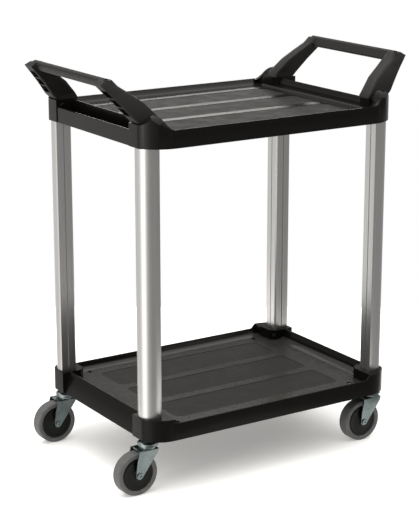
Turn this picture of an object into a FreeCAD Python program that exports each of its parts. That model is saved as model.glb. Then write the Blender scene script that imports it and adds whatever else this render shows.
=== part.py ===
"""Two-shelf food service trolley: moulded shelves, aluminium posts, moulded handles, swivel casters.
Row frame: +X along the length, +Y to the back, +Z up, origin on the floor at the centre of the footprint.
All sizes are millimetres."""
import FreeCAD, Part
import math
import os

V = FreeCAD.Vector

# ---------------------------------------------------------------- shelves
HALF_Y = 247.5          # outer half width of both shelves
WALL = 4.0              # moulded wall
FLOOR_T = 4.0           # tray floor plate
RIM_RISE = 40.0         # long side rim above the shelf's lower edge
FLOOR_DROP = 14.5       # tray floor below the long side rim
COVE = 26.0             # width of the sloping border beside the floor
PANEL_Y = 104.0         # width of one textured panel
BAND_Y = 26.0           # smooth band between panels
PANEL_D = 0.8           # panels are sunk this deep
PANEL_R = 16.0

LOW_Z = 128.0           # lower edge of the lower shelf
LOW_END_X = 334.0       # end wall at its foot
LOW_TOP_X = 319.0       # end wall leans in to here
LOW_END_RISE = 51.0     # end wall and corner block height
LOW_PANEL_X = 228.0     # half length of the panels

UP_Z = 790.0            # lower edge of the upper shelf
UP_BAND_X = 336.0       # outer face of the end band
UP_BAND_RISE = 35.5
UP_LIP_X = 295.0        # outer face of the tray's own end wall
UP_LIP_RISE = 49.5
UP_PANEL_X = 252.0
UP_BLOCK_RISE = 51.0    # corner block height
HUMP_RISE = 71.0        # rounded shoulder beside each handle arm

BLOCK_X = 338.0         # corner block end face
BLOCK_INX = 31.0        # block inner faces, measured in from the post centre
BLOCK_INY = 27.0
FACET = 31.0            # narrow 45 degree facet at a block's inner corner, seat of the post screws
EDGE_R = 20.0           # tight outer corner of a block
LOW_SWEEP_X, LOW_SWEEP_R = 275.0, 70.6   # the long side starts to sweep in here, on this radius
UP_SWEEP_X, UP_SWEEP_R = 265.0, 84.5

# ---------------------------------------------------------------- posts
POST_X, POST_Y = 306.0, 193.0   # centre of the round side
POST_R = 29.0
POST_IN = 13.2          # the two flat inner faces stand this far behind the centre
POST_CUT = 2.5          # chamfer on the inner corner between them
POST_SLOT = 7.6         # groove along each inner face, outward of the centre
POST_WALL = 2.2
FIT = 0.2               # socket clearance
LOW_SOCKET = LOW_Z + 22.0
UP_SOCKET = UP_Z + 20.0

# ---------------------------------------------------------------- handles
ARM_BASE = (307.5, 188.0, UP_Z + 24.0)
ARM_FOOT = (316.5, 186.5, 853.5)
ARM_HEAD = (386.5, 161.5, 925.0)
PLUG_T = 27.0           # thickness of the plug in the corner block
ARM_T = 38.0            # arm thickness across, above the block
HEAD_T = 34.0           # and at the grip

# ---------------------------------------------------------------- casters
SWIVEL_X, SWIVEL_Y = 316.0, 195.0
TRAIL = 33.0            # wheel axle behind the swivel axis
WHEEL_R = 50.0
TYRE_W = 30.0
RUN = 0.05              # running clearance on the axle sleeve

PARTS = {}


def box(x0, x1, y0, y1, z0, z1):
    return Part.makeBox(x1 - x0, y1 - y0, z1 - z0, V(x0, y0, z0))


def cyl(r, h, x=0, y=0, z=0, axis=V(0, 0, 1)):
    return Part.makeCylinder(r, h, V(x, y, z), axis)


def union(shapes):
    out = shapes[0]
    if len(shapes) > 1:
        out = out.multiFuse(shapes[1:])
    return out.removeSplitter()


def prism(points, z0, z1):
    """Upright prism over a closed outline in XY."""
    ring = [V(x, y, z0) for x, y in points]
    face = Part.Face(Part.makePolygon(ring + [ring[0]]))
    return face.extrude(V(0, 0, z1 - z0))


def along_x(points, x0, x1):
    ring = [V(x0, y, z) for y, z in points]
    return Part.Face(Part.makePolygon(ring + [ring[0]])).extrude(V(x1 - x0, 0, 0))


def along_y(points, y0, y1):
    ring = [V(x, y0, z) for x, z in points]
    return Part.Face(Part.makePolygon(ring + [ring[0]])).extrude(V(0, y1 - y0, 0))


def mirror_x(s):
    return s.mirror(V(0, 0, 0), V(1, 0, 0))


def mirror_y(s):
    return s.mirror(V(0, 0, 0), V(0, 1, 0))


def four(s):
    """The shape in all four corners."""
    a = mirror_x(s)
    return [s, a, mirror_y(s), mirror_y(a)]


def to_corner(s, sx, sy):
    if sx < 0:
        s = mirror_x(s)
    if sy < 0:
        s = mirror_y(s)
    return s


def round_box(x0, x1, y0, y1, z0, z1, r):
    b = box(x0, x1, y0, y1, z0, z1)
    edges = [e for e in b.Edges if abs(e.tangentAt(e.FirstParameter).z) > 0.9]
    return b.makeFillet(r, edges)


# ---------------------------------------------------------------- post section
def post_outline(grow, grooves):
    """Round on the outward side, two flat faces at right angles towards the tray, a groove along each."""
    r, a = POST_R + grow, POST_IN + grow
    far = math.sqrt(r * r - a * a)
    mid = r * math.cos(math.radians(45))

    def p(x, y):
        return V(POST_X + x, POST_Y + y, 0)

    face = [(-a + POST_CUT, -a)]
    if grooves:
        face += [(POST_SLOT - 1.2, -a), (POST_SLOT - 1.2, -a + 2.0)]
        face += [(POST_SLOT + 1.2, -a + 2.0), (POST_SLOT + 1.2, -a)]
    face += [(far, -a)]
    pts = [(y, x) for x, y in reversed(face)] + face
    edges = [Part.makeLine(p(*q), p(*w)) for q, w in zip(pts, pts[1:])]
    edges.append(Part.Arc(p(far, -a), p(mid, mid), p(-a, far)).toShape())
    return Part.Face(Part.Wire(edges))


def post_solid(grow, grooves, z0, z1):
    s = post_outline(grow, grooves).extrude(V(0, 0, z1 - z0))
    s.translate(V(0, 0, z0))
    return s


def make_post():
    z0, z1 = LOW_SOCKET, UP_SOCKET
    tube = post_solid(0, True, z0, z1).cut(post_solid(-POST_WALL - 2.2, False, z0 - 1, z1 + 1))
    for z in (LOW_SOCKET + 15, UP_Z + 9):
        tube = tube.cut(diagonal_cyl(2.1, -40, 4, z))
    return tube


def diagonal_cyl(r, u0, u1, z):
    c = math.cos(math.radians(45))
    return cyl(r, u1 - u0, POST_X + u0 * c, POST_Y + u0 * c, z, V(c, c, 0))


# ---------------------------------------------------------------- shelves
def block_outline():
    """Corner block outline round the post, with a 45 degree facet towards the tray."""
    x0, y0 = POST_X - BLOCK_INX, POST_Y - BLOCK_INY
    diagonal = POST_X + POST_Y - FACET * math.sqrt(2)
    return [(x0, HALF_Y), (BLOCK_X, HALF_Y), (BLOCK_X, y0), (diagonal - y0, y0), (x0, diagonal - x0)]


def shelf_envelope(sweep_x, sweep_r, z0, z1):
    """Plan outline of a shelf: straight sides that sweep in, then a tight corner into the end face."""
    cy = HALF_Y - sweep_r
    ex = BLOCK_X - EDGE_R
    ey = cy + math.sqrt((sweep_r - EDGE_R) ** 2 - (ex - sweep_x) ** 2)
    join = math.atan2(ey - cy, ex - sweep_x)

    def at(x, y, r, a):
        return V(x + r * math.cos(a), y + r * math.sin(a), z0)

    top, meet = V(sweep_x, HALF_Y, z0), at(ex, ey, EDGE_R, join)
    quarter = [Part.Arc(top, at(sweep_x, cy, sweep_r, (join + math.pi / 2) / 2), meet).toShape(),
               Part.Arc(meet, at(ex, ey, EDGE_R, join / 2), V(BLOCK_X, ey, z0)).toShape(),
               Part.makeLine(V(BLOCK_X, ey, z0), V(BLOCK_X, 0, z0)),
               Part.makeLine(V(BLOCK_X, 0, z0), V(0, 0, z0)),
               Part.makeLine(V(0, 0, z0), V(0, HALF_Y, z0)),
               Part.makeLine(V(0, HALF_Y, z0), top)]
    solid = Part.Face(Part.Wire(Part.__sortEdges__(quarter))).extrude(V(0, 0, z1 - z0))
    return union(four(solid))


def side_wall(zb, zr, half_x):
    """Long side: outer skirt, rounded rim and the sloping border down to the floor."""
    zf = zr - FLOOR_DROP
    yo, yi = HALF_Y, HALF_Y - WALL
    pts = [(yo, zb), (yo, zr - 1.5), (yo - 1.2, zr), (yi + 0.8, zr), (yi - 1.0, zr - 2.5),
           (yi - 6, zf + 5.5), (yi - 14, zf + 1.8), (yi - COVE, zf), (yi - COVE, zf - FLOOR_T),
           (yi - 12, zf - FLOOR_T + 1.0), (yi, zf - 1.0), (yi, zb)]
    return along_x(pts, -half_x, half_x)


def floor_plate(half_x, half_y, z, panel_x):
    s = box(-half_x, half_x, -half_y, half_y, z - FLOOR_T, z)
    for k in (-1, 0, 1):
        y = k * (PANEL_Y + BAND_Y)
        s = s.cut(round_box(-panel_x, panel_x, y - PANEL_Y / 2, y + PANEL_Y / 2, z - PANEL_D, z + 5, PANEL_R))
    return s


def under_ribs(half_x, half_y, z0, z1):
    """Stiffening grid under a tray floor."""
    ribs = [box(-half_x, half_x, y - 1.3, y + 1.3, z0, z1) for y in (-120, -40, 40, 120)]
    for i in range(-2, 3):
        x = i * 105.0
        ribs.append(box(x - 1.3, x + 1.3, -half_y, half_y, z0, z1))
    return ribs


def make_lower_shelf():
    zb, zr = LOW_Z, LOW_Z + RIM_RISE
    zf, zt = zr - FLOOR_DROP, LOW_Z + LOW_END_RISE
    parts = [floor_plate(LOW_TOP_X, HALF_Y - WALL - 2, zf, LOW_PANEL_X)]
    side = side_wall(zb, zr, LOW_TOP_X - 2)
    parts += [side, mirror_y(side)]
    end = along_y([(LOW_END_X, zb), (LOW_TOP_X, zt - 1), (LOW_TOP_X - 1.2, zt), (LOW_TOP_X - 3.6, zt),
                   (LOW_TOP_X - 5, zt - 2), (LOW_TOP_X - 8, zf + 7), (LOW_TOP_X - 18, zf + 1.8),
                   (LOW_TOP_X - 34, zf), (LOW_TOP_X - 34, zf - FLOOR_T), (LOW_TOP_X - 2, zf - FLOOR_T),
                   (LOW_END_X - WALL, zb)], -HALF_Y + 30, HALF_Y - 30)
    parts += [end, mirror_x(end)]
    parts += under_ribs(LOW_TOP_X - 4, HALF_Y - WALL - 1, zb + 6, zf - FLOOR_T + 0.5)
    block = prism(block_outline(), zb, zt)
    ramp = along_y([(POST_X - 31.5, zb), (POST_X - 31.5, zt), (POST_X - 30, zt + 2), (BLOCK_X + 1, zt + 2),
                    (BLOCK_X + 1, zb)], 100, HALF_Y + 1)
    block = block.common(ramp)
    shoulder = along_y([(POST_X - 32, zf), (POST_X - 27, zt), (POST_X - 20, zt), (POST_X - 20, zf)],
                       HALF_Y - 9, HALF_Y)
    skirt = along_y([(POST_X - 44, zr - 1), (POST_X - 42, zr), (POST_X - 31, zt), (POST_X - 28, zt),
                     (POST_X - 28, zr - 1)], HALF_Y - WALL, HALF_Y)
    for s in (block, shoulder, skirt):
        parts += four(s)
    s = union(parts).common(shelf_envelope(LOW_SWEEP_X, LOW_SWEEP_R, zb - 1, zt + 10))
    cut = []
    for sx in (1, -1):
        for sy in (1, -1):
            cut.append(to_corner(post_solid(FIT, False, LOW_SOCKET, zt + 5), sx, sy))
            cut.append(cyl(6.0 + FIT, 40, sx * SWIVEL_X, sy * SWIVEL_Y, zb - 1))
            cut.append(cyl(6.0, 12, sx * 243.0, sy * 205.0, zf - 8))
            cut.append(to_corner(diagonal_cyl(2.4, -44, -POST_IN, LOW_SOCKET + 15), sx, sy))
    return s.cut(cut[0].multiFuse(cut[1:])).removeSplitter()


def make_upper_shelf():
    zb, zr = UP_Z, UP_Z + RIM_RISE
    zf = zr - FLOOR_DROP
    zt = UP_Z + UP_BLOCK_RISE
    zl = UP_Z + UP_LIP_RISE
    zd = UP_Z + UP_BAND_RISE
    parts = [floor_plate(UP_LIP_X - 2, HALF_Y - WALL - 2, zf, UP_PANEL_X)]
    side = side_wall(zb, zr, POST_X)
    parts += [side, mirror_y(side)]
    lip = along_y([(UP_LIP_X, zb + 6), (UP_LIP_X, zl - 1), (UP_LIP_X - 1, zl), (UP_LIP_X - 3, zl),
                   (UP_LIP_X - 4, zl - 1), (UP_LIP_X - 5, zf + 6), (UP_LIP_X - 22, zf + 5),
                   (UP_LIP_X - 25, zf + 3), (UP_LIP_X - 27, zf), (UP_LIP_X - 27, zf - FLOOR_T),
                   (UP_LIP_X - 4, zf - FLOOR_T), (UP_LIP_X - 4, zb + 6)], -HALF_Y + 30, HALF_Y - 30)
    trough = box(UP_LIP_X - 3, UP_BAND_X - 1, -HALF_Y + 60, HALF_Y - 60, zb + 6, zb + 9.5)
    band = along_y([(UP_BAND_X, zb), (UP_BAND_X, zd - 1), (UP_BAND_X - 1, zd), (UP_BAND_X - WALL + 0.8, zd),
                    (UP_BAND_X - WALL, zd - 1), (UP_BAND_X - WALL, zb)], -HALF_Y + 70, HALF_Y - 70)
    for s in (lip, trough, band):
        parts += [s, mirror_x(s)]
    parts += under_ribs(UP_LIP_X - 2, HALF_Y - WALL - 1, zb + 6, zf - FLOOR_T + 0.5)
    # rounded shoulder outside each handle arm: one profile along the trolley, one across it
    hump = [(POST_X - 27, zr - 1), (POST_X - 22, zr + 8), (POST_X - 17, zr + 17), (POST_X - 12, zr + 24),
            (POST_X - 7, zr + 29), (POST_X - 2, zr + 30.8), (POST_X + 4, zr + 30), (POST_X + 10, zr + 26.5),
            (POST_X + 16, zr + 20.5), (POST_X + 22, zr + 15), (POST_X + 28, zr + 11.5), (BLOCK_X, zr + 10.5)]
    roof = [(POST_Y + 14, zr + 32), (POST_Y + 22, zr + 31), (POST_Y + 29, zr + 28.5), (POST_Y + 35, zr + 24.5),
            (POST_Y + 41, zr + 18), (POST_Y + 47, zr + 9), (POST_Y + 51, zr + 2), (HALF_Y, zr - 4)]
    tall = prism(block_outline(), zb, zb + HUMP_RISE + 4)
    low = tall.common(box(200, 400, 100, 300, zb, zr - 2)).fuse(
        tall.common(box(200, 400, 100, POST_Y + 19.5, zb, zt)))
    side_face = [(POST_X - 27, zb + 20)] + hump + [(BLOCK_X, zb + 20)]
    cheek = tall.common(along_y(side_face, POST_Y + 18.5, HALF_Y + 1))
    cheek = cheek.common(along_x([(POST_Y + 14, zb + 10)] + roof + [(HALF_Y, zb + 10)], 250, 400))
    skirt = along_y([(POST_X - 42, zr - 1), (POST_X - 34, zr + 0.5), (POST_X - 28, zr + 3), (POST_X - 23, zr + 8),
                     (POST_X - 17, zr + 12), (POST_X - 17, zr - 1)], HALF_Y - 14, HALF_Y)
    skirt = skirt.common(along_x([(POST_Y + 14, zb + 10)] + roof + [(HALF_Y, zb + 10)], 250, 400))
    for s in (low, cheek, skirt):
        parts += four(s)
    s = union(parts).common(shelf_envelope(UP_SWEEP_X, UP_SWEEP_R, zb - 1, zt + 60))
    cut = []
    for sx in (1, -1):
        for sy in (1, -1):
            cut.append(to_corner(post_solid(FIT, False, zb - 5, UP_SOCKET), sx, sy))
            cut.append(to_corner(arm_foot_block(FIT, ARM_BASE[2] - FIT, zt + 40), sx, sy))
            cut.append(to_corner(diagonal_cyl(2.4, -44, -POST_IN, UP_Z + 9), sx, sy))
            cut.append(to_corner(diagonal_cyl(5.2, -60, -FACET, UP_Z + 9), sx, sy))
            cut.append(to_corner(cyl(2.6, 40, 322, 140, UP_Z + 38, V(0, 1, 0)), sx, sy))
            cut.append(to_corner(cyl(5.2, 32.5, 322, 135, UP_Z + 38, V(0, 1, 0)), sx, sy))
    return s.cut(cut[0].multiFuse(cut[1:])).removeSplitter()


# ---------------------------------------------------------------- handles
def arm_foot_block(grow, z0, z1):
    """The upright plug of a handle arm that sits in the corner block."""
    x, y = ARM_BASE[0], ARM_BASE[1]
    return box(x - 25.5 - grow, x + 25.5 + grow, y - PLUG_T / 2 - grow, y + PLUG_T / 2 + grow, z0, z1)


def ring(cx, cy, z, wx, wy, cut_in, cut_out, tilt=0.0):
    """Level twelve-sided section of an arm; the corners towards the trolley are rounder."""
    hx, hy = wx / 2, wy / 2
    a, b = 0.29 * cut_in, cut_in
    pts = [(-hx, -hy + b), (-hx + a, -hy + a), (-hx + b, -hy), (hx - cut_out, -hy), (hx, -hy + cut_out),
           (hx, hy - cut_out), (hx - cut_out, hy), (-hx + b, hy), (-hx + a, hy - a), (-hx, hy - b)]
    v = [V(cx + x, cy + y, z + tilt * x) for x, y in pts]
    return Part.makePolygon(v + [v[0]])


def make_handle():
    """Right handle: two arms that lean out and draw together, joined by the grip."""
    fx, fy, fz = ARM_FOOT
    hx, hy, hz = ARM_HEAD
    zt = UP_Z + UP_BLOCK_RISE
    plug = arm_foot_block(0, ARM_BASE[2], zt + 1)

    def lean(q):
        return fx + q * (hx - fx), fy + q * (hy - fy), fz + q * (hz - fz)

    sections = [ring(ARM_BASE[0] - 2, fy, zt + 0.5, 57, ARM_T, 5, 3),
                ring(fx - 2, fy, fz, 64, ARM_T, 9, 3),
                ring(lean(0.40)[0] - 4.5, lean(0.42)[1], lean(0.42)[2], 61, ARM_T, 12, 3),
                ring(lean(0.70)[0] - 1.5, lean(0.71)[1] - 1, lean(0.71)[2], 52, ARM_T - 2, 12, 3),
                ring(hx + 1, hy - 2, hz, 48, HEAD_T, 11, 1.5, 0.14)]
    arm = Part.makeLoft(sections, True, True)
    top = Part.makeLoft([ring(hx + 1, hy - 2, hz, 48, HEAD_T, 11, 1.5, 0.14),
                         ring(hx + 3, hy - 3, hz + 11.0, 24, HEAD_T - 9, 6, 4, 0.0)], True, True)
    # the grip is a slab that leans out at its top, rounded along all its edges
    prof = [(377.6, 914.8), (374.9, 916.6), (374.6, 919.6), (383.0, 935.6), (385.4, 938.0), (388.4, 939.1),
            (392.6, 938.6), (396.6, 936.0), (398.4, 932.0), (397.6, 927.5), (393.6, 920.5), (390.4, 917.2),
            (385.0, 915.2), (381.0, 914.3)]
    grip = along_y(prof, -hy - 2, hy + 2)
    s = union([plug, arm, top, mirror_y(plug), mirror_y(arm), mirror_y(top), grip])
    # lightening channel in the outward underside of each arm, with cross ribs left standing
    cuts = []
    for k in range(3):
        a, b = 0.08 + 0.27 * k, 0.08 + 0.27 * k + 0.23
        secs = []
        for q in (a, b):
            cx, cy, cz = fx + q * (hx - fx), fy + q * (hy - fy), fz + q * (hz - fz)
            ww = 55 - 20 * q
            secs.append(ring(cx + ww / 2 + 2, cy, cz, 22, ARM_T - 9, 2, 2))
        cuts.append(Part.makeLoft(secs, True, True))
    cuts += [mirror_y(c) for c in cuts]
    screw_holes = [cyl(1.9, 16, 322, sy * (ARM_BASE[1] - PLUG_T / 2 - 1), UP_Z + 38, V(0, sy, 0))
                   for sy in (1, -1)]
    return s.cut(cuts[0].multiFuse(cuts[1:] + screw_holes)).removeSplitter()


def pan_screw(r_head, h_head, r, length, pos, axis):
    """Pan head screw; pos is the under side of the head, axis points along the shank."""
    a = V(*axis)
    a.normalize()
    p = V(*pos)
    head = Part.makeCylinder(r_head, h_head, p - a * h_head, a)
    head = head.makeFillet(h_head * 0.45, [e for e in head.Edges
                                           if abs(e.CenterOfMass.sub(p - a * h_head).Length) < 0.3
                                           and len(e.Vertexes) == 1 and e.Length > 5])
    shank = Part.makeCylinder(r, length, p, a)
    slot1 = Part.makeBox(1.0, r_head, 1.6, V(-0.5, -r_head / 2, -0.1))
    slot2 = Part.makeBox(r_head, 1.0, 1.6, V(-r_head / 2, -0.5, -0.1))
    cross = slot1.fuse(slot2)
    cross.Placement = FreeCAD.Placement(p - a * h_head, FreeCAD.Rotation(V(0, 0, 1), a))
    return head.fuse(shank).cut(cross).removeSplitter()


def make_post_screws(z):
    c = math.cos(math.radians(45))
    u = -FACET
    s = pan_screw(4.6, 3.0, 2.1, 19.0, (POST_X + u * c, POST_Y + u * c, z), (1, 1, 0))
    return four(s)


# ---------------------------------------------------------------- casters
# Built with the swivel axis on Z through the origin and the wheel trailing towards -X.
HEAD_Z0, HEAD_Z1 = 118.0, 121.0
FORK_Z0, FORK_Z1 = 104.0, 107.0
LEG_IN, LEG_T = 19.0, 2.5


def caster_stem():
    """Hex shouldered stem: plug in the shelf, shoulder under the block, kingpin down through the fork."""
    hexa = [(10.5 * math.cos(math.radians(60 * k)), 10.5 * math.sin(math.radians(60 * k))) for k in range(6)]
    nut = prism(hexa, 121.0, LOW_Z)
    stem = cyl(6.0, 32, 0, 0, 121.0 + 2)
    tip = Part.makeCone(6.0, 4.5, 2.0, V(0, 0, 155.0))
    pin = cyl(5.0, 19.0, 0, 0, 103.0)
    rivet = Part.makeCone(6.5, 9.0, 2.6, V(0, 0, 100.4))
    collar = cyl(9.0, 0.6, 0, 0, 103.0)
    return union([nut, stem, tip, pin, rivet, collar])


def caster_head():
    """Upper raceway: a pressed steel cup that stays with the stem."""
    prof = [(5.0, HEAD_Z1), (20.0, HEAD_Z1), (23.5, HEAD_Z1 - 2.5), (24.0, 113.5), (21.8, 113.5),
            (21.4, HEAD_Z1 - 3.2), (19.5, HEAD_Z1 - 2.6), (5.0, HEAD_Z1 - 2.6)]
    return revolve(prof)


def revolve(prof, axis=V(0, 0, 1)):
    ring_pts = [V(x, 0, z) for x, z in prof]
    f = Part.Face(Part.makePolygon(ring_pts + [ring_pts[0]]))
    return f.revolve(V(0, 0, 0), V(0, 0, 1), 360)


def caster_balls():
    balls = []
    for k in range(14):
        a = math.radians(360 * k / 14)
        balls.append(Part.makeSphere(3.2, V(15.6 * math.cos(a), 15.6 * math.sin(a), 114.7)))
    return balls


def caster_fork():
    """Swivel fork: lower raceway dish, top plate and two tapering legs."""
    dish = revolve([(5.3, FORK_Z0), (5.3, 110.2), (9.5, 110.2), (12.3, 111.2), (14.0, 111.5), (17.2, 111.5),
                    (18.5, 113.2), (19.8, 113.2), (20.6, 111.0), (20.6, FORK_Z0)])
    hollow = revolve([(8.5, FORK_Z0 - 1), (8.5, 107.4), (11.5, 108.6), (16.0, 108.8), (18.2, 107.0),
                      (18.2, FORK_Z0 - 1)])
    plate = box(-30, 16, -LEG_IN - LEG_T, LEG_IN + LEG_T, FORK_Z0, FORK_Z1)
    plate = plate.fuse(cyl(20.6, FORK_Z1 - FORK_Z0, 0, 0, FORK_Z0)).cut(cyl(12.0, 10, 0, 0, FORK_Z0 - 3))
    ax, az = -TRAIL, WHEEL_R
    leg = [(-32.0, FORK_Z1), (16.0, FORK_Z1), (15.0, FORK_Z1 - 8), (ax + 8.2, az - 4.2), (ax + 5, az - 7.8),
           (ax, az - 9.3), (ax - 5, az - 7.8), (ax - 8.2, az - 4.2), (ax - 9.3, az), (ax - 6.0, az + 30)]
    legs = []
    for s in (1, -1):
        y0, y1 = sorted((s * LEG_IN, s * (LEG_IN + LEG_T)))
        legs.append(along_y(leg, y0, y1))
    body = union([dish, plate] + legs).cut(hollow)
    body = body.cut(cyl(5.3, 20, 0, 0, FORK_Z0 - 5))
    edges = [e for e in body.Edges if len(e.Vertexes) == 2 and e.BoundBox.XLength > 30 and e.BoundBox.ZLength < 0.1
             and e.BoundBox.YLength < 0.1 and abs(e.CenterOfMass.z - FORK_Z1) < 0.1
             and abs(abs(e.CenterOfMass.y) - LEG_IN - LEG_T) < 0.1]
    body = body.makeFillet(2.2, edges) if edges else body
    return body.cut(cyl(4.1, 80, ax, -40, az, V(0, 1, 0)))


def caster_axle_bolt():
    ax, az = -TRAIL, WHEEL_R
    y = -(LEG_IN + LEG_T)
    shank = cyl(4.0, 2 * (LEG_IN + LEG_T) + 7.0, ax, y - 0.05, az, V(0, 1, 0))
    head = Part.makeCylinder(6.6, 3.6, V(ax, y, az), V(0, -1, 0))
    head = head.makeFillet(1.4, [e for e in head.Edges if abs(e.CenterOfMass.y - (y - 3.6)) < 0.1
                                 and len(e.Vertexes) == 1 and e.Length > 5])
    socket = [(ax + 2.9 * math.cos(math.radians(60 * k)), az + 2.9 * math.sin(math.radians(60 * k)))
              for k in range(6)]
    return shank.fuse(head).cut(along_y(socket, y - 5, y - 1.6)).removeSplitter()


def caster_axle_nut():
    ax, az = -TRAIL, WHEEL_R
    y = LEG_IN + LEG_T
    hexa = [(ax + 7.3 * math.cos(math.radians(60 * k + 30)), az + 7.3 * math.sin(math.radians(60 * k + 30)))
            for k in range(6)]
    nut = along_y(hexa, y, y + 5.2).fuse(cyl(5.6, 6.6, ax, y, az, V(0, 1, 0)))
    return nut.cut(cyl(4.0, 12, ax, y - 2, az, V(0, 1, 0))).removeSplitter()


def caster_sleeve():
    """Steel sleeve clamped between the legs; the wheel turns on it."""
    ax, az = -TRAIL, WHEEL_R
    return cyl(6.0, 2 * LEG_IN, ax, -LEG_IN, az, V(0, 1, 0)).cut(cyl(4.1, 60, ax, -30, az, V(0, 1, 0)))


def wheel_turn(prof):
    """Profile points are (radius, y); returns the ring about the axle."""
    pts = [V(-TRAIL + r, y, WHEEL_R) for r, y in prof]
    f = Part.Face(Part.makePolygon(pts + [pts[0]]))
    return f.revolve(V(-TRAIL, 0, WHEEL_R), V(0, 1, 0), 360)


def caster_core():
    half = [(6.0 + RUN, 17.6), (11.5, 17.6), (13.0, 15.4), (17.0, 14.6), (30.0, 13.6), (34.0, 13.9),
            (38.5, 12.6), (38.5, 4.0), (40.5, 3.0)]
    prof = half + [(r, -y) for r, y in reversed(half)]
    return wheel_turn(prof)


def caster_tyre():
    w = TYRE_W / 2
    half = [(38.5, 4.0), (38.5, 13.4), (41.5, w), (45.5, w), (48.6, w - 2.2), (49.7, w - 6.0), (50.0, w - 10.5)]
    prof = [(40.5, 3.0)] + half + [(r, -y) for r, y in reversed(half)] + [(40.5, -3.0)]
    return wheel_turn(prof)


CASTER_PIECES = {
    "stem": caster_stem, "head": caster_head, "balls": caster_balls, "fork": caster_fork,
    "axle_bolt": caster_axle_bolt, "axle_nut": caster_axle_nut, "sleeve": caster_sleeve,
    "wheel_core": caster_core, "tyre": caster_tyre,
}


# ---------------------------------------------------------------- assembly
def build():
    PARTS["upper_shelf"] = make_upper_shelf()
    PARTS["lower_shelf"] = make_lower_shelf()
    post = make_post()
    corners = {"fl": (-1, -1), "fr": (1, -1), "bl": (-1, 1), "br": (1, 1)}
    for name, (sx, sy) in corners.items():
        PARTS["post_" + name] = to_corner(post, sx, sy)
    handle = make_handle()
    PARTS["handle_right"] = handle
    PARTS["handle_left"] = mirror_x(handle)
    PARTS["post_screws_lower"] = make_post_screws(LOW_SOCKET + 15)
    PARTS["post_screws_upper"] = make_post_screws(UP_Z + 9)
    PARTS["handle_screws"] = four(pan_screw(4.8, 3.0, 1.9, 14.0, (322, 167.5, UP_Z + 38), (0, 1, 0)))
    for name, (sx, sy) in corners.items():
        for piece, make in CASTER_PIECES.items():
            shape = make()
            move = V(sx * SWIVEL_X, sy * SWIVEL_Y, 0)
            shapes = shape if isinstance(shape, list) else [shape]
            for s in shapes:
                s.translate(move)
            PARTS["caster_%s_%s" % (name, piece)] = shapes if isinstance(shape, list) else shapes[0]


def export():
    os.makedirs("parts", exist_ok=True)
    for name, shape in PARTS.items():
        out = Part.makeCompound(shape) if isinstance(shape, list) else shape
        if not isinstance(shape, list) and len(out.Solids) == 1:
            out = out.Solids[0]
        print(name, "solids", len(out.Solids), "valid", out.isValid(), "volume %.1f" % out.Volume)
        out.exportStep("parts/%s.step" % name)


build()
export()
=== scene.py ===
"""Food service trolley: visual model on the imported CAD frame.
Metres: +X along the trolley, +Y to the back, +Z up, floor at z = 0."""
import math
from collections import namedtuple

import bmesh
import bpy
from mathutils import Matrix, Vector


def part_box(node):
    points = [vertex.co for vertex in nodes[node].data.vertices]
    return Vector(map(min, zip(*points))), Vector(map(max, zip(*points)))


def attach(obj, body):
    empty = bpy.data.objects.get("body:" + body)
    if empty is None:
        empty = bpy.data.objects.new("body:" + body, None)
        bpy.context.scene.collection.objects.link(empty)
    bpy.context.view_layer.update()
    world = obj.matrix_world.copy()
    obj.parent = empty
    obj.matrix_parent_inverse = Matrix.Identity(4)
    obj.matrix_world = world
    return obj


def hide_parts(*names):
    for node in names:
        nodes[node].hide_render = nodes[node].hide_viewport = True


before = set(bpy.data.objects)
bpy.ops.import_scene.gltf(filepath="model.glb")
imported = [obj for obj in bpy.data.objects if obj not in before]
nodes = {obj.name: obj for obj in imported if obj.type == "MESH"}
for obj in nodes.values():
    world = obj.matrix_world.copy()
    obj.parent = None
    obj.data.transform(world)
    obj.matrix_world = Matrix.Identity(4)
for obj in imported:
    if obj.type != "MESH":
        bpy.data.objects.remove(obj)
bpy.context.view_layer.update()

# ------------------------------------------------------------------ driving values
CORNERS = ("fl", "fr", "bl", "br")

# Sunk, grained panels in the floor of each shelf
PANEL_HALF_Y = 0.052        # half width of a panel
PANEL_PITCH = 0.130         # from the middle panel to each outer one
PANEL_MARGIN = 0.0005       # the panel finish runs this far up the step round a panel
LEVEL_MARGIN = 0.0004       # faces this near the panel's level belong to it
PANEL_ROUGH = 0.55
DECK_LIFT = 0.006           # middle height, above the panels, of the floor faces round them
DECK_BAND = 0.0055          # those faces lie this far above or below that height

# a shelf's floor: half length and height of its panels, tone of the panels and of the smooth floor
# between and round them; both tones are painted sheen, lighter than the shelf's plastic, the lower shelf's
# the most
Tray = namedtuple("Tray", "panel_x panel_z panel_tone deck_tone")
UPPER_TRAY = Tray(0.252, 0.8147, 0.010, 0.006)
LOWER_TRAY = Tray(0.228, 0.1527, 0.020, 0.030)

HANDLE_EDGE_R = 0.002       # rounding of the handles' edges

# camera
YAW = math.radians(32.75)   # from +Y towards +X
PITCH = math.radians(15.23)  # below level
CAMERA_PLACE = (-2.0820, -3.1953, 1.4837)
LENS_MM = 114.0
SENSOR_MM = 36.0

# studio directions: level, as the camera looks, and to its right
AHEAD = Vector((math.sin(YAW), math.cos(YAW), 0.0))
RIGHT = Vector((AHEAD.y, -AHEAD.x, 0.0))
UP = Vector((0.0, 0.0, 1.0))
STREAK = Vector((-0.967, -0.158, -0.2))     # the bright strip that the posts mirror

WHITE = (1.0, 1.0, 1.0, 1.0)
WARM = (1.0, 0.985, 0.955, 1.0)


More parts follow.
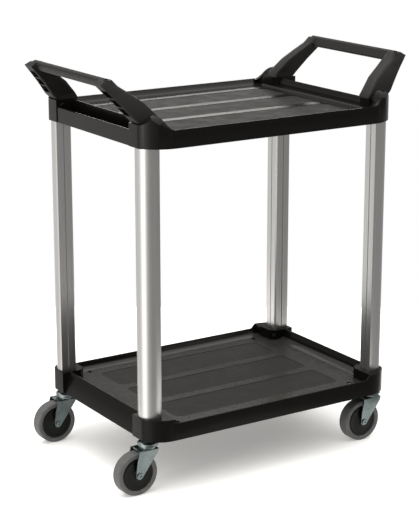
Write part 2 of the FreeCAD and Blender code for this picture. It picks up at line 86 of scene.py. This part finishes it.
# ------------------------------------------------------------------ node helpers
class Graph:
    """Small helper round one node tree."""

    def __init__(self, tree):
        self.tree = tree
        tree.nodes.clear()

    def add(self, kind, **props):
        n = self.tree.nodes.new(kind)
        for key, value in props.items():
            setattr(n, key, value)
        return n

    def link(self, out, socket):
        self.tree.links.new(out, socket)

    def put(self, socket, value):
        """Link an output to the socket, or set a plain value on it."""
        if isinstance(value, bpy.types.NodeSocket):
            self.link(value, socket)
        else:
            socket.default_value = value

    def math(self, op, a, b=None, clamp=False):
        n = self.add("ShaderNodeMath", operation=op, use_clamp=clamp)
        self.put(n.inputs[0], a)
        if b is not None:
            self.put(n.inputs[1], b)
        return n.outputs[0]

    def near(self, value, centre, reach):
        """1 where value is within reach of centre, 0 elsewhere."""
        return self.math("LESS_THAN", self.math("ABSOLUTE", self.math("SUBTRACT", value, centre)), reach)

    def split(self, vector):
        n = self.add("ShaderNodeSeparateXYZ")
        self.link(vector, n.inputs[0])
        return n.outputs

    def dot(self, vector, v):
        n = self.add("ShaderNodeVectorMath", operation="DOT_PRODUCT")
        self.link(vector, n.inputs[0])
        n.inputs[1].default_value = v
        return n.outputs["Value"]

    def noise(self, vector, scale, detail=3.0, rough=0.5, distortion=0.0):
        n = self.add("ShaderNodeTexNoise")
        self.link(vector, n.inputs["Vector"])
        n.inputs["Scale"].default_value = scale
        n.inputs["Detail"].default_value = detail
        n.inputs["Roughness"].default_value = rough
        n.inputs["Distortion"].default_value = distortion
        return n.outputs["Fac"]

    def remap(self, value, a0, a1, b0, b1, smooth=False):
        n = self.add("ShaderNodeMapRange", interpolation_type="SMOOTHSTEP" if smooth else "LINEAR")
        self.put(n.inputs["Value"], value)
        for name, v in (("From Min", a0), ("From Max", a1), ("To Min", b0), ("To Max", b1)):
            n.inputs[name].default_value = v
        return n.outputs["Result"]

    def mix(self, factor, a, b):
        """Colour a where factor is 0, b where it is 1."""
        n = self.add("ShaderNodeMix", data_type="RGBA")
        self.put(n.inputs["Factor"], factor)
        self.put(n.inputs[6], a)
        self.put(n.inputs[7], b)
        return n.outputs[2]

    def blend(self, factor, a, b):
        """Plain number a where factor is 0, b where it is 1."""
        n = self.add("ShaderNodeMix", data_type="FLOAT")
        self.put(n.inputs[0], factor)
        self.put(n.inputs[2], a)
        self.put(n.inputs[3], b)
        return n.outputs[0]

    def bump(self, height, distance, strength):
        n = self.add("ShaderNodeBump")
        n.inputs["Strength"].default_value = strength
        n.inputs["Distance"].default_value = distance
        self.link(height, n.inputs["Height"])
        return n.outputs["Normal"]

    def stretch(self, vector, scale):
        n = self.add("ShaderNodeMapping")
        self.link(vector, n.inputs["Vector"])
        n.inputs["Scale"].default_value = scale
        return n.outputs["Vector"]


def material(name):
    """New material: itself, its graph, its shader and the object coordinates."""
    m = bpy.data.materials.new(name)
    m.use_nodes = True
    g = Graph(m.node_tree)
    shader = g.add("ShaderNodeBsdfPrincipled")
    out = g.add("ShaderNodeOutputMaterial")
    g.link(shader.outputs[0], out.inputs["Surface"])
    where = g.add("ShaderNodeTexCoord").outputs["Object"]
    return m, g, shader, where


def grey(v, warm=0.0):
    return (v * (1 + warm), v, v * (1 - warm), 1.0)


# ------------------------------------------------------------------ materials
def panel_mask(g, where, tray):
    """1 on the three sunk panels."""
    x, y, z = g.split(where)
    reach = PANEL_HALF_Y + PANEL_MARGIN
    across = g.math("ABSOLUTE", y)
    columns = g.math("MAXIMUM", g.math("LESS_THAN", across, reach), g.near(across, PANEL_PITCH, reach))
    along = g.math("LESS_THAN", g.math("ABSOLUTE", x), tray.panel_x + PANEL_MARGIN)
    return g.math("MULTIPLY", g.math("MULTIPLY", columns, along), g.near(z, tray.panel_z, LEVEL_MARGIN))


def deck_mask(g, where, tray):
    """1 on the level floor faces between and round the panels that face up: where the painted sheen goes.
    """
    faces_up = g.math("GREATER_THAN", g.split(g.add("ShaderNodeTexCoord").outputs["Normal"])[2], 0.9)
    return g.math("MULTIPLY", faces_up, g.near(g.split(where)[2], tray.panel_z + DECK_LIFT, DECK_BAND))


def plastic(name, tone, rough, gloss, tray=None):
    """Black moulded plastic. A shelf's floor round its panels is painted lighter, a painted sheen with worn
    patches in it; its panels are grained, scuffed and duller, on a tone also painted lighter as sheen.
    """
    m, g, shader, where = material(name)
    cloud = g.noise(where, 9.0, 4.0, 0.55)
    fine = g.noise(where, 1500.0, 3.0, 0.6)
    wear = g.noise(where, 60.0, 5.0, 0.65)
    base = g.mix(cloud, grey(tone * 0.8, 0.10), grey(tone * 1.3, 0.12))
    roughness = g.remap(wear, 0.3, 0.7, rough - 0.03, rough + 0.05)
    height = g.remap(fine, 0.0, 1.0, 0.0, 0.10)
    if tray:
        grain = g.noise(where, 620.0, 2.0, 0.5, 0.4)
        scuff = g.noise(where, 22.0, 6.0, 0.68, 0.3)
        # painted sheen: the floor round the panels is lighter than the plastic, with worn patches in it
        deck_wear_and_sheen = g.mix(wear, grey(tray.deck_tone * 0.7, 0.06), grey(tray.deck_tone * 1.3, 0.07))
        mottle = g.math("ADD", g.remap(grain, 0.35, 0.65, 0.0, 0.55), g.remap(scuff, 0.35, 0.65, 0.0, 0.45))
        # painted sheen: the panels' tone is lighter than the plastic; the grain and scuff mottle on it is
        # the plastic's own
        panel_grain_and_sheen = g.mix(mottle, grey(tray.panel_tone * 0.5, 0.06), grey(tray.panel_tone * 1.7, 0.07))
        dull = g.remap(scuff, 0.35, 0.65, PANEL_ROUGH - 0.09, PANEL_ROUGH + 0.09)
        dull = g.math("ADD", dull, g.remap(grain, 0.3, 0.7, -0.05, 0.05))
        on_panel = panel_mask(g, where, tray)
        base = g.mix(on_panel, g.mix(deck_mask(g, where, tray), base, deck_wear_and_sheen), panel_grain_and_sheen)
        roughness = g.blend(on_panel, roughness, dull)
        height = g.blend(on_panel, height, g.remap(grain, 0.3, 0.7, 0.0, 1.0))
    g.link(base, shader.inputs["Base Color"])
    g.link(roughness, shader.inputs["Roughness"])
    g.link(g.bump(height, 0.00020, 0.6), shader.inputs["Normal"])
    shader.inputs["Specular IOR Level"].default_value = gloss
    return m


def aluminium(name):
    """Satin anodised extrusion with faint lengthwise draw lines."""
    m, g, shader, where = material(name)
    lines = g.noise(g.stretch(where, (900.0, 900.0, 1.2)), 1.0, 3.0, 0.6)
    cloud = g.noise(where, 5.0, 3.0, 0.5)
    tone = g.mix(g.remap(lines, 0.3, 0.7, 0.0, 1.0), grey(0.44, 0.008), grey(0.54, 0.006))
    soft = g.remap(cloud, 0.3, 0.7, 0.27, 0.33)
    g.link(tone, shader.inputs["Base Color"])
    g.link(g.math("ADD", soft, g.remap(lines, 0.2, 0.8, -0.03, 0.05)), shader.inputs["Roughness"])
    g.link(g.bump(lines, 0.00003, 0.5), shader.inputs["Normal"])
    shader.inputs["Metallic"].default_value = 1.0
    return m


def steel(name, tone, rough):
    """Plated steel: cloudy, with a fine spangle."""
    m, g, shader, where = material(name)
    spangle = g.noise(where, 260.0, 4.0, 0.6)
    cloud = g.noise(where, 45.0, 3.0, 0.55)
    dark = tuple(c * 0.72 for c in tone[:3]) + (1.0,)
    g.link(g.mix(g.remap(cloud, 0.3, 0.7, 0.0, 1.0), dark, tone), shader.inputs["Base Color"])
    g.link(g.remap(spangle, 0.3, 0.7, rough - 0.06, rough + 0.1), shader.inputs["Roughness"])
    g.link(g.bump(spangle, 0.00004, 0.5), shader.inputs["Normal"])
    shader.inputs["Metallic"].default_value = 1.0
    return m


def rubber(name):
    """Grey non-marking rubber: matt and slightly mottled."""
    m, g, shader, where = material(name)
    mottle = g.noise(where, 70.0, 5.0, 0.6)
    fine = g.noise(where, 1300.0, 2.0, 0.5)
    g.link(g.mix(g.remap(mottle, 0.3, 0.7, 0.0, 1.0), grey(0.065), grey(0.10)), shader.inputs["Base Color"])
    g.link(g.remap(mottle, 0.3, 0.7, 0.55, 0.72), shader.inputs["Roughness"])
    g.link(g.bump(fine, 0.00012, 0.5), shader.inputs["Normal"])
    return m


def hub_plastic(name):
    """Smooth black nylon."""
    m, g, shader, where = material(name)
    cloud = g.noise(where, 40.0, 4.0, 0.6)
    fine = g.noise(where, 900.0, 2.0, 0.5)
    g.link(g.mix(cloud, grey(0.0015, 0.06), grey(0.003, 0.06)), shader.inputs["Base Color"])
    g.link(g.remap(cloud, 0.3, 0.7, 0.24, 0.34), shader.inputs["Roughness"])
    g.link(g.bump(fine, 0.00006, 0.4), shader.inputs["Normal"])
    shader.inputs["Specular IOR Level"].default_value = 0.14
    return m


UPPER = plastic("plastic_upper", tone=0.004, rough=0.22, gloss=0.16, tray=UPPER_TRAY)
LOWER = plastic("plastic_lower", tone=0.004, rough=0.22, gloss=0.09, tray=LOWER_TRAY)
GRIPS = plastic("plastic_handle", tone=0.009, rough=0.50, gloss=0.25)
ALU = aluminium("aluminium_satin")
ZINC = steel("zinc_steel", tone=(0.185, 0.222, 0.222, 1.0), rough=0.24)
SCREW_BLACK = steel("blackened_screws", tone=(0.035, 0.035, 0.037, 1.0), rough=0.36)
TYRE = rubber("tyre_grey")
HUB = hub_plastic("hub_black")


# ------------------------------------------------------------------ CAD nodes: finish and edge softening
def smooth_by_angle(o, degrees):
    """Add a modifier that smooths the faces and keeps edges above the angle sharp."""
    name = "smooth_by_angle_%d" % degrees
    if name not in bpy.data.node_groups:
        angle_group(name, math.radians(degrees))
    o.modifiers.new("shade", "NODES").node_group = bpy.data.node_groups[name]


def angle_group(name, limit):
    """Geometry nodes group: smooth faces, sharp edges above the limit."""
    t = bpy.data.node_groups.new(name, "GeometryNodeTree")
    t.interface.new_socket("Geometry", in_out="INPUT", socket_type="NodeSocketGeometry")
    t.interface.new_socket("Geometry", in_out="OUTPUT", socket_type="NodeSocketGeometry")
    first = t.nodes.new("NodeGroupInput")
    last = t.nodes.new("NodeGroupOutput")
    faces = t.nodes.new("GeometryNodeSetShadeSmooth")
    faces.domain = "FACE"
    faces.inputs["Shade Smooth"].default_value = True
    edges = t.nodes.new("GeometryNodeSetShadeSmooth")
    edges.domain = "EDGE"
    edges.inputs["Shade Smooth"].default_value = False
    angle = t.nodes.new("GeometryNodeInputMeshEdgeAngle")
    above = t.nodes.new("ShaderNodeMath")
    above.operation = "GREATER_THAN"
    above.inputs[1].default_value = limit
    t.links.new(first.outputs[0], faces.inputs["Geometry"])
    t.links.new(faces.outputs[0], edges.inputs["Geometry"])
    t.links.new(angle.outputs[0], above.inputs[0])
    t.links.new(above.outputs[0], edges.inputs["Selection"])
    t.links.new(edges.outputs[0], last.inputs[0])


def round_edges(o, width):
    """Join the flat faces and bevel the edges between them."""
    flat = o.modifiers.new("join_flats", "DECIMATE")
    flat.decimate_type = "DISSOLVE"
    flat.angle_limit = math.radians(0.6)
    b = o.modifiers.new("edge_round", "BEVEL")
    b.width = width
    b.segments = 3
    b.limit_method = "ANGLE"
    b.angle_limit = math.radians(28)


def finish_cad(name, mat, smooth, edge=0.0):
    """Give a CAD node its material, weld its seams and shade it, with real edge rounding where asked."""
    o = nodes[name]
    o.data.materials.clear()
    o.data.materials.append(mat)
    if "custom_normal" in o.data.attributes:
        o.data.attributes.remove(o.data.attributes["custom_normal"])
    weld = o.modifiers.new("weld", "WELD")
    weld.merge_threshold = 0.000005
    if edge:
        round_edges(o, edge)
    smooth_by_angle(o, smooth)
    if edge:
        weighted = o.modifiers.new("face_weight", "WEIGHTED_NORMAL")
        weighted.keep_sharp = True
        weighted.weight = 80


finish_cad("upper_shelf", UPPER, 42)
finish_cad("lower_shelf", LOWER, 42)
for end in ("right", "left"):
    finish_cad("handle_" + end, GRIPS, 40, HANDLE_EDGE_R)
for c in CORNERS:
    finish_cad("post_" + c, ALU, 30)
for group in ("post_screws_lower", "post_screws_upper", "handle_screws"):
    finish_cad(group, SCREW_BLACK, 40)
for c in CORNERS:
    for piece in ("stem", "head", "balls", "fork", "axle_bolt", "axle_nut", "sleeve"):
        finish_cad("caster_%s_%s" % (c, piece), ZINC, 35)


# ------------------------------------------------------------------ wheels
# Half outlines are (radius, y) points, turned about the axle; LOCK is the tyre's ridge in the rim.
LOCK = [(0.0405, 0.0030), (0.0385, 0.0040)]


def both_sides(half):
    """Mirror a half profile of (radius, y) about y = 0 into a closed loop."""
    return half + [(r, -y) for r, y in reversed(half)]


def arc(cr, cy, rad, a0, a1, steps):
    angles = [math.radians(a0 + (a1 - a0) * k / steps) for k in range(steps + 1)]
    return [(cr + rad * math.cos(a), cy + rad * math.sin(a)) for a in angles]


def tyre_profile():
    """Tread with rounded shoulders, a fine mould line on each side wall and a lip on the hub rim."""
    half = LOCK + [(0.0385, 0.0130)]
    half += [(0.0392, 0.0137), (0.0412, 0.0147), (0.0430, 0.0149), (0.0434, 0.01462), (0.0438, 0.0149)]
    half += arc(0.0458, 0.0108, 0.0042, 88, 0, 9)
    half += [(0.05, 0.0085), (0.05, 0.0045), (0.05, 0.0008)]
    return both_sides(half)


def core_profile():
    """Hub, dished web and rim."""
    hub = [(0.00605, 0.0172), (0.0064, 0.0176), (0.0110, 0.0176), (0.0114, 0.0172), (0.0118, 0.0158)]
    web = [(0.0128, 0.0147), (0.0150, 0.0140), (0.0200, 0.0135), (0.0270, 0.0131), (0.0300, 0.0132)]
    rim = [(0.0318, 0.0136), (0.0330, 0.0139), (0.0345, 0.0139), (0.0360, 0.0136), (0.0378, 0.0130),
           (0.0385, 0.0126)]
    return both_sides(hub + web + rim + LOCK[::-1])


def lathe(name, profile, centre, mat, segments=128):
    """Closed ring from (radius, y) points, turned about the line along Y through the centre."""
    bm = bmesh.new()
    rows = []
    for k in range(segments):
        a = 2 * math.pi * k / segments
        row = [centre + Vector((r * math.cos(a), y, r * math.sin(a))) for r, y in profile]
        rows.append([bm.verts.new(p) for p in row])
    n = len(profile)
    for k in range(segments):
        a, b = rows[k], rows[(k + 1) % segments]
        for i in range(n):
            j = (i + 1) % n
            bm.faces.new((a[i], a[j], b[j], b[i]))
    bmesh.ops.recalc_face_normals(bm, faces=bm.faces)
    mesh = bpy.data.meshes.new(name)
    bm.to_mesh(mesh)
    bm.free()
    mesh.materials.append(mat)
    o = bpy.data.objects.new(name, mesh)
    bpy.context.scene.collection.objects.link(o)
    smooth_by_angle(o, 35)
    return o


for c in CORNERS:
    lo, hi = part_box("caster_%s_tyre" % c)
    centre = (lo + hi) / 2
    t = lathe("tyre_" + c, tyre_profile(), centre, TYRE)
    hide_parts("caster_%s_tyre" % c)
    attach(t, "wheel_" + c)
    h = lathe("wheel_core_" + c, core_profile(), centre, HUB)
    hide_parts("caster_%s_wheel_core" % c)
    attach(h, "wheel_" + c)


# ------------------------------------------------------------------ stage, light, camera
def make_floor():
    """Pale floor; it ends close in front of the trolley, so the shelves' sides mirror little of it."""
    near, far = -0.58, 1.10
    corners = [(near, -0.56), (near, 0.58), (far, 0.80), (far, -0.80)]
    bm = bmesh.new()
    bm.faces.new([bm.verts.new(AHEAD * ahead + RIGHT * right) for ahead, right in corners])
    bmesh.ops.recalc_face_normals(bm, faces=bm.faces)
    mesh = bpy.data.meshes.new("floor")
    bm.to_mesh(mesh)
    bm.free()
    o = bpy.data.objects.new("floor", mesh)
    bpy.context.scene.collection.objects.link(o)
    m, g, shader, where = material("floor_pale")
    cloud = g.noise(where, 0.7, 2.0, 0.5)
    g.link(g.mix(cloud, grey(0.90), grey(0.93)), shader.inputs["Base Color"])
    shader.inputs["Roughness"].default_value = 0.9
    shader.inputs["Specular IOR Level"].default_value = 0.1
    shader.inputs["Emission Color"].default_value = WARM
    shader.inputs["Emission Strength"].default_value = 0.28     # keeps the contact shadow light
    mesh.materials.append(m)


def make_world():
    """Studio round the trolley: bright to the left and overhead, dim to the right; white behind it."""
    world = bpy.data.worlds.new("studio")
    bpy.context.scene.world = world
    world.use_nodes = True
    g = Graph(world.node_tree)
    direction = g.add("ShaderNodeTexCoord").outputs["Generated"]

    def toward(v, start, full, low, high):
        """Goes smoothly from low to high as the direction turns towards v."""
        return g.remap(g.dot(direction, v), start, full, low, high, True)

    left = toward(-RIGHT, -0.30, 0.60, 0.0, 0.62)
    back = toward(AHEAD, 0.1, 0.9, 0.0, 0.10)
    streak = toward(STREAK, 0.86, 0.985, 0.0, 1.5)
    top = toward(UP, 0.40, 0.85, 0.0, 1.7)
    glow = g.math("MAXIMUM", g.math("ADD", g.math("MAXIMUM", left, back), streak), top)
    level = g.math("ADD", glow, 0.40)
    # a dimmer belt a little above the horizon, which the tray floors mirror
    below = toward(UP, 0.02, 0.16, 1.0, 0.0)
    above = toward(UP, 0.42, 0.62, 0.0, 1.0)
    belt = g.remap(g.math("ADD", below, above, clamp=True), 0.0, 1.0, 0.55, 1.0)
    level = g.math("MULTIPLY", level, belt)
    seen = g.add("ShaderNodeLightPath").outputs["Is Camera Ray"]
    bg = g.add("ShaderNodeBackground")
    g.link(g.mix(seen, WARM, WHITE), bg.inputs["Color"])
    g.link(g.blend(seen, level, 1.0), bg.inputs["Strength"])
    out = g.add("ShaderNodeOutputWorld")
    g.link(bg.outputs[0], out.inputs["Surface"])


def area(name, place, aim, size, power):
    """Rectangular soft light; size is width and height in metres, power in watts."""
    data = bpy.data.lights.new(name, "AREA")
    data.shape = "RECTANGLE"
    data.size, data.size_y = size
    data.energy = power
    data.color = WARM[:3]
    o = bpy.data.objects.new(name, data)
    o.location = place
    o.rotation_euler = (Vector(aim) - Vector(place)).to_track_quat("-Z", "Y").to_euler()
    o.visible_camera = False
    bpy.context.scene.collection.objects.link(o)


def make_lights():
    """A tall strip to the left, a wide low strip behind that the upper tray mirrors, and a soft top."""
    area("key_left", (-3.2, -1.05, 1.3), (0.0, 0.0, 0.5), (0.40, 2.4), 18)
    area("tray_strip", AHEAD * 2.3 + UP * 1.41, (0.0, 0.0, 0.815), (2.6, 0.20), 6.6)
    area("top_soft", (-0.6, -0.4, 3.4), (0.0, 0.0, 0.0), (2.2, 2.2), 30)


def make_camera():
    data = bpy.data.cameras.new("camera")
    data.lens = LENS_MM
    data.sensor_width = SENSOR_MM
    o = bpy.data.objects.new("camera", data)
    o.location = CAMERA_PLACE
    look = AHEAD * math.cos(PITCH) - UP * math.sin(PITCH)
    o.rotation_euler = look.to_track_quat("-Z", "Y").to_euler()
    bpy.context.scene.collection.objects.link(o)
    bpy.context.scene.camera = o


make_floor()
make_world()
make_lights()
make_camera()
bpy.context.scene.view_settings.view_transform = "Standard"
